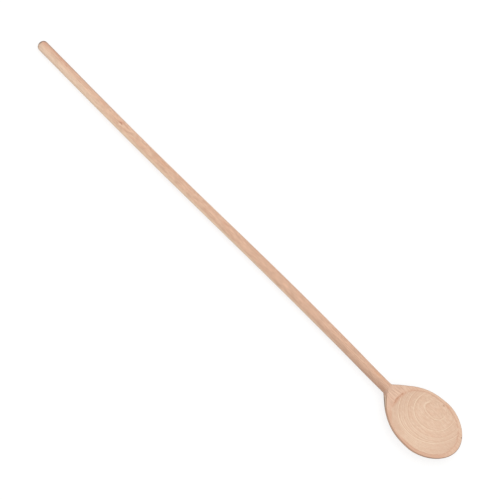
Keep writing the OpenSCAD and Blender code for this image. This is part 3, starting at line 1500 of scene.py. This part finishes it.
@dataclass(frozen=True)
class HeadBeech(Beech):
    """The head's blank, with what the carving shows at its rings, rim, face and lip."""

    shoulder_x: float
    rings: tuple[Ring, ...]
    rim: Colour
    lip_line: Colour
    face: Colour
    face_line: Colour
    ring_break: float = 0.5
    ring_late: float = 0.6
    tip_break: float = 0.5
    rim_start: float = -2.2
    rim_start_near: float = 0.8
    rim_run: float = 2.6
    rim_warmth: float = 0.42
    rim_patchiness: float = 0.4
    rim_far_break: float = 0.5
    face_cover: float = 0.5
    face_lining: float = 0.55
    face_stranding: float = 0.16
    lip_stray: float = 3.0
    lip_warmth: float = 0.7
    lip_faint: float = 0.2
    lip_patchiness: float = 0.3
    lip_depth: float = 0.65
    ring_breaks: Texture = Texture((7, 7, 7), 2, 0.28, 0.6)
    carving_grain: tuple[float, float, float] = (8, 8, 8)
    rim_patches: Texture = Texture((16, 16, 16), 2, 0.4, 0.6)
    face_lines: Texture = Texture((22, 0.9, 0.9), 1, 0.44, 0.64)
    lip_unevenness: Texture = Texture((4, 4, 4), 2, 0.36, 0.56)
    off_far_wall: Fade = Fade(Measure.ACROSS, 33, 25)
    toward_tip: Fade = Fade(Measure.ALONG, 745, 785)
    near_rim: Fade = Fade(Measure.ACROSS, -4, -24)
    far_rim: Fade = Fade(Measure.ACROSS, 20, 30)
    far_lip: Fade = Fade(Measure.ACROSS, 10, 26)
    outer_lip: Fade = Fade(Measure.PAST, 50, 80)
    beside_lip: Fade = Fade(Measure.CARVED_LIP, 3.2, 0.4, middle=-0.6)
    on_lip: Fade = Fade(Measure.CARVED_LIP, 0.85, 0.1, middle=0.0)
    on_top: Fades = (Fade(Measure.UP, 4.5, 6.5), Fade(Measure.PAST, 4, 30))
    far_tip: Fades = (Fade(Measure.PAST, 80, 105), Fade(Measure.ACROSS, 2, 12))
    on_face: Fades = (
        Fade(Measure.PAST, 26, 14), Fade(Measure.UP, 4.5, 6.5), Fade(Measure.LIP, -0.5, 1),
    )
    lip_at_neck: Fades = (Fade(Measure.PAST, 30, 22), Fade(Measure.ACROSS, 16, 8, middle=0.0))

    def places(self, s: Shader, grain: Grain) -> Places:
        """Lays out the measures of the head.

        Args:
            s: The material's shader.
            grain: The blank's grain.

        Returns:
            The measures.
        """
        x, y, z = s.split(grain.point)
        lip, side, neck = (
            s.node("ShaderNodeAttribute", attribute_name=name).outputs["Fac"]
            for name in ("lip", "side", "neck")
        )
        carving = s.wander(grain.point, self.carving_grain, 1)
        return {
            Measure.ALONG: x,
            Measure.PAST: s.math("SUBTRACT", x, self.shoulder_x),
            Measure.ACROSS: y,
            Measure.UP: z,
            Measure.LIP: lip,
            Measure.CARVED_LIP: s.total(lip, (carving, self.lip_stray)),
            Measure.SIDE: side,
            Measure.NECK: neck,
            Measure.PATCH: s.texture(grain.point, self.rim_patches),
        }

    def tinted(self, s: Shader, grain: Grain) -> Socket:
        """Lays what the carving shows over the grain, and then the tones.

        Args:
            s: The material's shader.
            grain: The blank's grain.

        Returns:
            The colour.
        """
        places = self.places(s, grain)
        colour = self.ringed(s, places, grain)
        colour = self.rimmed(s, places, colour)
        colour = self.faced(s, places, grain, colour)
        colour = self.lipped(s, places, grain, colour)
        return self.toned(s, places, colour)

    def ringed(self, s: Shader, places: Places, grain: Grain) -> Socket:
        """Lays the rings that stand out over the grain.

        Args:
            s: The material's shader.
            places: The measures.
            grain: The blank's grain.

        Returns:
            The colour.
        """
        breaks = s.texture(grain.point, self.ring_breaks)
        unbroken = s.total(1 - self.ring_break, (breaks, self.ring_break))
        clear = s.total(1.0, (self.toward_tip.mask(s, places), -self.tip_break))
        shown = s.product(unbroken, self.off_far_wall.mask(s, places), clear)
        off_middle = s.math("SUBTRACT", places[Measure.ALONG], self.middle)
        colour = grain.colour
        for ring in self.rings:
            slant = s.total(ring.lean, (off_middle, ring.bend))
            level = s.total(ring.level, (off_middle, slant))
            wood = s.group(wide_ring(), Depth=grain.depth, Reach=grain.reach, Level=level)
            late = s.product(wood["Late"], shown)
            colour = s.lay(colour, self.late, late, self.ring_late * ring.strength)
            colour = s.lay(colour, self.early, s.product(wood["Pale"], shown), ring.strength)
        return colour

    def rimmed(self, s: Shader, places: Places, colour: Socket) -> Socket:
        """Lays the warmer tone of the rim over a colour, in patches, and paler on the far side.

        Args:
            s: The material's shader.
            places: The measures.
            colour: The colour so far.

        Returns:
            The colour.
        """
        start = s.total(self.rim_start, (self.near_rim.mask(s, places), self.rim_start_near))
        full = s.math("ADD", start, self.rim_run)
        outside = s.span(places[Measure.CARVED_LIP], start, full)
        rim = s.product(outside, masked(s, places, self.on_top))
        far = s.math("MAXIMUM", masked(s, places, self.far_tip), self.far_rim.mask(s, places))
        patchy = s.total(self.rim_warmth, (places[Measure.PATCH], self.rim_patchiness))
        warmth = s.product(patchy, s.total(1.0, (far, -self.rim_far_break)))
        return s.lay(colour, self.rim, rim, warmth)

    def faced(self, s: Shader, places: Places, grain: Grain, colour: Socket) -> Socket:
        """Lays the paler, lined look of the flat face by the neck over a colour.

        Args:
            s: The material's shader.
            places: The measures.
            grain: The blank's grain.
            colour: The colour so far.

        Returns:
            The colour.
        """
        on_face = masked(s, places, self.on_face)
        lines = s.product(on_face, s.texture(grain.point, self.face_lines))
        colour = s.lay(colour, self.face, on_face, self.face_cover)
        colour = s.lay(colour, self.face_line, lines, self.face_lining)
        return s.shade(colour, s.mix(on_face, grey(0.5), grain.strand), self.face_stranding)

    def lipped(self, s: Shader, places: Places, grain: Grain, colour: Socket) -> Socket:
        """Draws the lip of the hollow: uneven, dark and warm by the neck, a faint line elsewhere.

        Args:
            s: The material's shader.
            places: The measures.
            grain: The blank's grain.
            colour: The colour so far.

        Returns:
            The colour.
        """
        at_neck = masked(s, places, self.lip_at_neck)
        beside = s.product(self.beside_lip.mask(s, places), at_neck)
        colour = s.lay(colour, self.rim, beside, self.lip_warmth)
        uneven_at_neck = s.product(at_neck, s.texture(grain.point, self.lip_unevenness))
        beyond = s.math("MAXIMUM", self.far_lip.mask(s, places), self.outer_lip.mask(s, places))
        patchy = s.total(self.lip_faint, (places[Measure.PATCH], self.lip_patchiness))
        faint = s.product(patchy, beyond)
        line = s.product(self.on_lip.mask(s, places), s.math("MAXIMUM", uneven_at_neck, faint))
        return s.lay(colour, self.lip_line, line, self.lip_depth)


@dataclass(frozen=True)
class HandleBeech(Beech):
    """The handle's blank, whose tone changes along the rod and from side to side."""

    # The pale stripe of the near side is painted bounce light.
    bounce_light: Colour
    stripe_from: float = -5.0
    stripe_wider: float = 0.5
    stripe_full: float = -7.6
    stripe_strength: float = 0.8
    stripe_stronger: float = 0.2
    stranding: float = 0.18
    stripe_wide: Fade = Fade(Measure.ALONG, 330, 400)
    stripe_strong: Fade = Fade(Measure.ALONG, 260, 340)
    stripe_ends: Fades = (Fade(Measure.ALONG, 20, 60), Fade(Measure.ALONG, 640, 500))

    def tinted(self, s: Shader, grain: Grain) -> Socket:
        """Lays the tones, painted bounce light on the near side, and the strands over the grain.

        Args:
            s: The material's shader.
            grain: The blank's grain.

        Returns:
            The colour.
        """
        x, y, _ = s.split(grain.point)
        places = {Measure.ALONG: x, Measure.ACROSS: y}
        colour = self.toned(s, places, grain.colour)
        # Painted bounce light: a paler stripe along the near side.
        inner = s.total(self.stripe_from, (self.stripe_wide.mask(s, places), self.stripe_wider))
        beyond = s.span(y, inner, self.stripe_full)
        bounce_light = s.product(beyond, masked(s, places, self.stripe_ends))
        stronger = (self.stripe_strong.mask(s, places), self.stripe_stronger)
        strength = s.total(self.stripe_strength, stronger)
        colour = s.lay(colour, self.bounce_light, bounce_light, strength)
        return s.shade(colour, grain.strand, self.stranding)


@dataclass(frozen=True)
class WoodGlue:
    """Cured wood glue: dull, slightly yellow, with small bubbles.

    Its scales say how many features there are to a metre, and the bubbles' height is in mm.
    """

    name: str = "cured_glue"
    clear: Colour = srgb(238, 226, 190)
    cloudy: Colour = srgb(222, 204, 156)
    cloud_scale: float = 260.0
    bubble_scale: float = 900.0
    bubble_height: float = 0.05

    def material(self) -> bpy.types.Material:
        """Builds the glue's material.

        Returns:
            The material.
        """
        made = bpy.data.materials.new(self.name)
        made.use_nodes = True
        s = Shader(made.node_tree)
        place = s.node("ShaderNodeTexCoord").outputs["Object"]
        clouds = {"Vector": place, "Scale": self.cloud_scale, "Detail": 3.0}
        cloud = s.node("ShaderNodeTexNoise", clouds).outputs[0]
        cells = s.node("ShaderNodeTexVoronoi", {"Vector": place, "Scale": self.bubble_scale})
        bubble = s.span(cells.outputs["Distance"], 0.25, 0.1)
        colour = s.mix(s.span(cloud, 0.35, 0.65), self.clear, self.cloudy)
        colour = s.lay(colour, self.clear, bubble, 0.5)
        relief = {"Height": bubble, "Strength": 0.4, "Distance": self.bubble_height * MM}
        inputs = {
            "Base Color": colour, "Roughness": s.total(0.3, (cloud, 0.3)),
            "Normal": s.node("ShaderNodeBump", relief).outputs[0], "IOR": 1.47,
        }
        shader = s.node("ShaderNodeBsdfPrincipled", inputs)
        s.node("ShaderNodeOutputMaterial", {"Surface": shader.outputs[0]})
        return made


def head_tones(face: Colour) -> tuple[Tone, ...]:
    """The tones of the head's upright edge, round neck, hip and tip: mostly painted shade.

    Args:
        face: Colour of the flat face by the neck.

    Returns:
        The tones, in their order.
    """
    # Colours of painted shade at the edges and hip, and of a painted highlight on the hip.
    edge = srgb(188, 148, 122)
    shaded_edge_line = srgb(160, 122, 98)
    far_edge_shade = srgb(184, 162, 148)
    tip_edge_shade = srgb(138, 106, 88)
    hip_highlight = srgb(224, 198, 174)
    hip_shade = srgb(92, 80, 64)
    # The neck's wood tone, going over into painted shade on its near side.
    round_neck = TwoTone(srgb(217, 177, 150), srgb(196, 160, 138), Fade(Measure.ACROSS, 4, -7))
    beside_neck = (Fade(Measure.ACROSS, -9, -11.5), Fade(Measure.PAST, 19, 13))
    hip = (Fade(Measure.ACROSS, -9.5, -14.5), Fade(Measure.PAST, 22, 10))
    above_edge = Fade(Measure.SIDE, 0.3, 0.2)
    edge_strip = Fade(Measure.SIDE, 0.2, 0.1, middle=0.36)
    light_strip = Fade(Measure.SIDE, 0.2, 0.1, middle=0.64)
    under_strip = (Fade(Measure.SIDE, 0.74, 0.94), Fade(Measure.SIDE, 1.26, 1.04))
    corner = Fade(Measure.SIDE, 0.13, 0.05, middle=0.14)
    off_back = Fade(Measure.SIDE, 1.9, 1.1)
    far_flank = (Fade(Measure.ACROSS, 6, 10), Fade(Measure.PAST, 40, 26))
    near_flank = (Fade(Measure.ACROSS, -2, -5), Fade(Measure.PAST, 4, 9, middle=10.0))
    tip = (Fade(Measure.PAST, 85, 112), Fade(Measure.ACROSS, 24, 14))
    return (
        # Painted shade down the upright edge, which turns away from the light.
        Tone(edge, 0.8, (Fade(Measure.SIDE, 0.12, 0.4), off_back)),
        # Painted shade on the near side of the round neck.
        Tone(round_neck, 0.85, (Fade(Measure.NECK, 0.08, 0.35), Fade(Measure.PAST, 14, 6))),
        Tone(face, 0.75, (*beside_neck, above_edge)),
        # Painted shade: a dark line at the crease along the face's edge beside the neck.
        Tone(shaded_edge_line, 0.8, (*beside_neck, edge_strip)),
        # A painted highlight along the rounded near hip.
        Tone(hip_highlight, 0.9, (*beside_neck, light_strip)),
        # Painted shade: a dark line under the near hip.
        Tone(hip_shade, 0.8, (*hip, *under_strip)),
        # Painted shade: a grey line along the far corner beside the neck.
        Tone(far_edge_shade, 0.6, (corner, *far_flank)),
        # Painted shade: a dark line along the near corner of the face by the neck.
        Tone(shaded_edge_line, 0.8, (corner, *near_flank)),
        # Painted shade: a dark line along the rounded edge of the tip.
        Tone(tip_edge_shade, 0.65, (*tip, Fade(Measure.SIDE, 0.04, 0.2), off_back)),
    )


def head_beech(line: SpoonLine, shoulder_x: float) -> HeadBeech:
    """The pale blank of the head, with the rings and marks that its carving laid open.

    Args:
        line: The spoon's line.
        shoulder_x: Distance of the shoulder from the end of the handle, in mm.

    Returns:
        The finish.
    """
    face = srgb(224, 187, 163)
    hip_dark_spot = srgb(156, 118, 96)
    rings = (
        Ring(-5.65, 0.55, -0.008, 0.0013),
        Ring(-2.36, 0.7, 0.003, -0.0006),
        Ring(0.28, 0.45, 0.003, 0.0),
        Ring(3.78, 0.8, -0.033, 0.0),
    )
    marks = (
        # A painted highlight on the rounded near hip.
        Mark((675.2, -5.2, 5.4), (3.4, 2.6, 3.5), srgb(220, 198, 186), 0.35),
        # Darker spots on the near hip.
        Mark((676.4, -4.4, 6.6), (1.6, 1.2, 2), hip_dark_spot, 0.6, 0.1),
        Mark((678.2, -8.2, 4), (1.8, 1.6, 2.5), hip_dark_spot, 0.5, 0.1),
        Mark((717, -30, 5.5), (24, 10, 8), srgb(216, 178, 152), 0.45),
        Mark((745.3, 37.8, 5), (2.8, 1.9, 3.5), srgb(180, 132, 106), 0.7, 0.1),
        Mark((745.3, 37.2, 4.4), (1.0, 0.7, 2), srgb(236, 206, 180), 0.8, 0.1),
        Mark((750.3, 40.3, 7.6), (7, 1.5, 2), srgb(214, 160, 126), 0.6),
        Mark((792.9, 22.5, 7), (1.6, 1.4, 3), srgb(110, 76, 62), 0.8, 0.1),
    )
    return HeadBeech(
        name="carved_beech",
        line=line,
        body=srgb(232, 201, 175),
        light=srgb(236, 209, 185),
        warm=srgb(228, 190, 163),
        early=srgb(244, 221, 195),
        late=srgb(206, 163, 134),
        fleck=srgb(190, 140, 110),
        dim=srgb(212, 179, 152),
        bright=srgb(246, 219, 195),
        end_grain_and_shade=srgb(208, 170, 146),
        end_from=(0.05, 0.55),
        slope=0.2,
        cup=0.003,
        lean=-0.0148,
        middle=741.0,
        period=1.04,
        wobble=0.3,
        line_width=0.7,
        layer_contrast=0.5,
        blotchiness=0.45,
        mottling=0.4,
        fleckiness=0.3,
        tones=head_tones(face),
        marks=marks,
        shoulder_x=shoulder_x,
        rings=rings,
        rim=srgb(215, 170, 143),
        lip_line=srgb(186, 130, 100),
        face=face,
        face_line=srgb(202, 156, 132),
    )


def handle_tones() -> tuple[Tone, ...]:
    """The tones along the rod and from its far side to its near side, painted shade among them.

    Returns:
        The tones, in their order.
    """
    grip_light = srgb(229, 196, 170)
    sapwood = srgb(237, 209, 184)
    far_side = srgb(214, 170, 144)
    neck = srgb(215, 174, 148)
    # The shade and edge tones are painted shade.
    shade = srgb(198, 160, 136)
    edge = srgb(162, 128, 106)
    grip = Fade(Measure.ALONG, 170, 60)
    grip_end = Fade(Measure.ALONG, 190, 120)
    toward_neck = Fade(Measure.ALONG, 450, 660)
    past_grip = (Fade(Measure.ALONG, 190, 240), Fade(Measure.ALONG, 420, 330))
    return (
        Tone(grip_light, 0.6, (grip,)),
        Tone(sapwood, 0.65, (grip, Fade(Measure.ACROSS, 0, -6))),
        Tone(far_side, 0.7, (grip, Fade(Measure.ACROSS, -2, 4))),
        Tone(neck, 0.6, (Fade(Measure.ALONG, 120, 480),)),
        # Painted shade on the near side towards the neck.
        Tone(shade, 0.85, (Fade(Measure.ACROSS, 2.0, -6.5), toward_neck)),
        # Painted shade along the far edge by the end, where the round turns from the light.
        Tone(edge, 0.65, (Fade(Measure.ACROSS, 4.8, 6.8), grip_end)),
        Tone(grip_light, 0.35, (Fade(Measure.ACROSS, 4.0, 6.0), *past_grip)),
    )


def handle_beech(line: SpoonLine) -> HandleBeech:
    """The pinker blank of the handle, with its pin knot and flecks.

    Args:
        line: The spoon's line.

    Returns:
        The finish.
    """
    fleck = srgb(196, 138, 110)
    knot = srgb(146, 72, 46)
    marks = (
        # The first three marks are painted shade on the rounded end, turned away from the light.
        Mark((-0.6, 1.4, 0), (6.4, 8.0, 14), srgb(72, 48, 38), 1.0, 0.1),
        Mark((1.6, 5.6, 0), (7.0, 4.4, 13), srgb(80, 54, 43), 1.0, 0.1),
        Mark((2.2, -5.4, 0), (5.0, 3.6, 9), srgb(158, 130, 110), 0.6, 0.1),
        Mark((7, 3.2, 6), (9, 2.6, 4), srgb(214, 160, 134), 0.5),
        Mark((34, 5.0, 5), (34, 2.8, 5), srgb(214, 160, 132), 0.5),
        Mark((37.7, 2.8, 7.2), (5, 0.9, 2), fleck, 0.6),
        Mark((49.3, 2.1, 7.4), (5, 0.9, 2), fleck, 0.6),
        Mark((78.8, -0.6, 7.6), (4, 0.7, 1.6), fleck, 0.5),
        Mark((90.4, 0.4, 7.6), (4, 0.7, 1.6), fleck, 0.5),
        Mark((121, 1.5, 7.4), (12, 1.5, 3), fleck, 0.35),
        Mark((158.5, 1.4, 7.5), (8, 2.4, 2.5), srgb(222, 164, 138), 0.55),
        Mark((153.5, -1.0, 7.6), (4.5, 1.0, 1.6), srgb(202, 156, 126), 0.5),
        Mark((156.6, -1.0, 7.6), (1.9, 1.0, 1.8), knot, 0.66, 0.1),
        Mark((158.2, -0.4, 7.6), (2.0, 0.95, 1.8), knot, 0.7, 0.1),
        Mark((160.0, -1.3, 7.6), (1.7, 1.05, 1.8), knot, 0.76, 0.1),
        Mark((158.0, -3.0, 6.8), (2.4, 1.4, 2), srgb(248, 212, 186), 0.7),
        Mark((236, 0.8, 7.8), (18, 2.0, 3), srgb(214, 160, 126), 0.5),
        Mark((357, 1.5, 8), (14, 1.8, 3), srgb(212, 158, 130), 0.45),
        Mark((464, -5.8, 6), (17, 0.6, 4), srgb(158, 112, 86), 0.6),
        Mark((452, -7.0, 5), (14, 0.5, 4), srgb(166, 120, 94), 0.5),
        Mark((506, -2.6, 7.9), (2.0, 0.7, 1.4), srgb(150, 102, 76), 0.6, 0.1),
        Mark((652, 3.0, 7), (16, 2.4, 4), srgb(224, 170, 132), 0.5),
        # Painted shade on the near side just before the shoulder.
        Mark((666, -5.5, 5.5), (12, 3.2, 5), srgb(182, 138, 112), 0.4),
    )
    return HandleBeech(
        name="turned_beech",
        line=line,
        body=srgb(226, 187, 160),
        light=srgb(232, 198, 172),
        warm=srgb(214, 166, 138),
        early=srgb(238, 208, 180),
        late=srgb(198, 150, 122),
        fleck=srgb(178, 124, 96),
        dim=srgb(202, 163, 137),
        bright=srgb(246, 211, 184),
        # A dark end-grain tone, which on the rounded end is mostly painted shade.
        end_grain_and_shade=srgb(104, 76, 60),
        end_from=(0.5, 0.85),
        slope=-1.3,
        cup=0.0,
        lean=0.012,
        middle=400.0,
        period=3.1,
        wobble=0.8,
        line_width=0.5,
        layer_contrast=0.6,
        blotchiness=0.75,
        mottling=0.7,
        fleckiness=0.5,
        tones=handle_tones(),
        marks=marks,
        # Painted bounce light along the near side.
        bounce_light=srgb(240, 209, 180),
    )


@dataclass
class Studio:
    """The plain white floor, the soft lamp and the camera at the photograph's angle.

    The camera's field, lens and sensor are in mm, and the floor and the lamp in metres.
    """

    line: SpoonLine
    picture: float = 500.0
    field_mm: float = 686.9
    end_px: tuple[float, float] = (39.17, 43.15)
    roll: float = 44.857
    tilt: float = 15.5
    lens: float = 100.0
    sensor: float = 36.0
    floor_size: float = 8.0
    floor_lit: float = 0.6
    floor_shown: float = 0.3
    floor_glow: float = 0.75
    ambient: float = 0.89
    lamp_power: float = 5.0
    lamp_size: float = 1.4
    lamp_place: tuple[float, float, float] = (-0.2, 0.35, 1.7)

    def build(self) -> None:
        """Builds all of the studio."""
        self._camera()
        self._world()
        self._floor()
        self._lamp()
        bpy.context.scene.view_settings.view_transform = "Standard"

    def _camera(self) -> None:
        """Places the camera so that the handle's end and axis lie where the photograph has them."""
        tilt = math.radians(self.tilt)
        roll = math.radians(self.roll)
        back = Vector((0, -math.sin(tilt), math.cos(tilt)))
        along = Vector((1, 0, 0))
        across = back.cross(along)
        right = along * math.cos(roll) + across * math.sin(roll)
        up = across * math.cos(roll) - along * math.sin(roll)
        mm_per_px = self.field_mm / self.picture
        half = self.picture / 2
        target = self.line.end
        target = target + right * (half - self.end_px[0]) * mm_per_px * MM
        target = target - up * (half - self.end_px[1]) * mm_per_px * MM
        distance = self.lens / self.sensor * self.field_mm * MM
        data = bpy.data.cameras.new("camera")
        data.lens = self.lens
        data.sensor_width = self.sensor
        camera = bpy.data.objects.new("camera", data)
        bpy.context.scene.collection.objects.link(camera)
        turn = Matrix((right, up, back)).transposed().to_4x4()
        camera.matrix_world = Matrix.Translation(target + back * distance) @ turn
        bpy.context.scene.camera = camera

    @staticmethod
    def _lit_or_shown(s: Shader, lit: Socket, shown: Socket) -> Socket:
        """Mixes what lights the spoon with what the picture shows of the floor or the world.

        Args:
            s: The shader of the floor or the world.
            lit: What a ray that lights the spoon meets.
            shown: What a ray meets that is seen straight on, or in gloss or glass.

        Returns:
            The mixed shader.
        """
        path = s.node("ShaderNodeLightPath").outputs
        seen = s.math("MAXIMUM", path["Is Camera Ray"], path["Is Glossy Ray"])
        seen = s.math("MAXIMUM", seen, path["Is Transmission Ray"])
        return s.node("ShaderNodeMixShader", {0: seen, 1: lit, 2: shown}).outputs[0]

    def _world(self) -> None:
        """Makes an even light from all round, seen as plain white."""
        world = bpy.data.worlds.new("studio")
        bpy.context.scene.world = world
        world.use_nodes = True
        s = Shader(world.node_tree)
        light, white = (
            s.node("ShaderNodeBackground", {"Color": grey(1), "Strength": strength}).outputs[0]
            for strength in (self.ambient, 1.0)
        )
        s.node("ShaderNodeOutputWorld", {"Surface": self._lit_or_shown(s, light, white)})

    def _floor(self) -> None:
        """Makes a floor that is seen white and still shows the spoon's faint shadow."""
        deselect_all()
        bpy.ops.mesh.primitive_plane_add(size=self.floor_size)
        floor = bpy.context.object
        floor.name = "floor"
        material = bpy.data.materials.new("floor")
        material.use_nodes = True
        s = Shader(material.node_tree)
        lit, shown = (
            s.node("ShaderNodeBsdfDiffuse", {"Color": grey(level)}).outputs[0]
            for level in (self.floor_lit, self.floor_shown)
        )
        glow = s.node("ShaderNodeEmission", {"Color": grey(1), "Strength": self.floor_glow})
        both = s.node("ShaderNodeAddShader", {0: shown, 1: glow.outputs[0]}).outputs[0]
        s.node("ShaderNodeOutputMaterial", {"Surface": self._lit_or_shown(s, lit, both)})
        floor.data.materials.append(material)

    def _lamp(self) -> None:
        """Hangs one wide soft lamp above the far side of the spoon."""
        data = bpy.data.lights.new("soft_box", "AREA")
        data.shape = "DISK"
        data.size = self.lamp_size
        data.energy = self.lamp_power
        lamp = bpy.data.objects.new("soft_box", data)
        bpy.context.scene.collection.objects.link(lamp)
        place = Vector(self.lamp_place)
        facing = place.to_track_quat("Z", "Y").to_matrix().to_4x4()
        lamp.matrix_world = Matrix.Translation(place) @ facing


def dress(thing: bpy.types.Object, material: bpy.types.Material) -> None:
    """Gives a piece one material and nothing else."""
    thing.data.materials.clear()
    thing.data.materials.append(material)


def adopt(piece: bpy.types.Object, node: Node, slot: Slot, material: bpy.types.Material) -> None:
    """Dresses a new piece and puts it in the place of its CAD node.

    Args:
        piece: The new piece.
        node: The CAD node that it stands for.
        slot: The record's material slot; not used.
        material: Its material.
    """
    dress(piece, material)
    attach(piece, BODY)
    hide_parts(node.value)
    LOG.info("%s: %d faces, stands for %s", piece.name, len(piece.data.polygons), node.value)


def main() -> None:
    """Builds the head and the handle, dresses the glue film and sets up the studio."""
    logging.basicConfig(level=logging.INFO, format="%(name)s: %(message)s")
    grip = grip_mount()
    line = SpoonLine.from_grip(grip)
    glue_start = line.to_row().inverted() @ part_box(Node.GLUE.value)[0]
    shoulder_x = round(glue_start.x, 1)
    head = SpoonHead(line, shoulder_x, TIP_X).build()
    adopt(head, Node.HEAD, Slot.HEAD_WOOD, head_beech(line, shoulder_x).material())
    handle = SpoonHandle(line, shoulder_x, grip["dims"]["r_mm"]).build()
    adopt(handle, Node.HANDLE, Slot.HANDLE_WOOD, handle_beech(line).material())
    glue = frame["nodes"][Node.GLUE.value]
    dress(glue, WoodGlue().material())
    LOG.info("%s: kept from the CAD model", glue.name)
    Studio(line).build()


if __name__ == "__main__":
    main()
